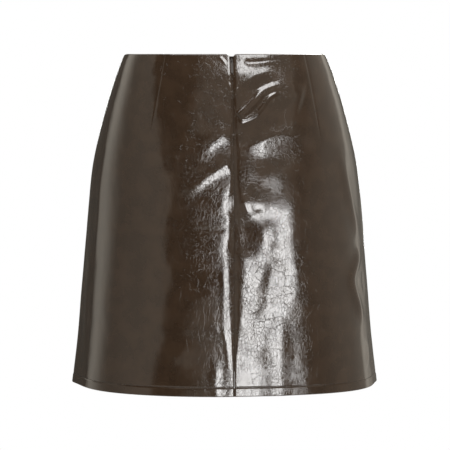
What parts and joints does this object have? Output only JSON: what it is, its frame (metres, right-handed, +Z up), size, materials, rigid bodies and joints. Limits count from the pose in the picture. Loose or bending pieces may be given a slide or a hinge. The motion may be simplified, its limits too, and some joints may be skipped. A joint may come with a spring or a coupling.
{
  "type": "leather mini skirt",
  "caption": "Short A-line skirt in glossy crinkled leather, filled out as if worn, with a concealed back zip, darts and a topstitched hem.",
  "frame": {"origin": "centre of the waist opening, level with the waist edge, where the wearer's waist holds the skirt", "axes": "+Z up out of the waist, the centre back faces -Y, and +X is the wearer's right side as the back is looked at with +X on the right"},
  "size_m": [0.3909, 0.2457, 0.422],
  "materials": {
    "patent_leather": "glossy crinkled patent, dark chocolate brown",
    "zip_tape": "matt woven ribbon, near black",
    "zip_metal": "dark brown enamelled zinc"
  },
  "bodies": {
    "skirt": {"front": "patent_leather", "back_left": "patent_leather", "back_right": "patent_leather", "zip_tape_left": "zip_tape", "zip_tape_right": "zip_tape", "zip_slider": "zip_metal"},
    "pull": {"zip_pull": "zip_metal"}
  },
  "joints": [
    {"name": "zip_pull_swing", "type": "hinge", "parent": "skirt", "child": "pull", "pos_m": [0, -0.08845, -0.00785], "axis": [-1, 0, 0], "range_deg": [0, 150]}
  ]
}
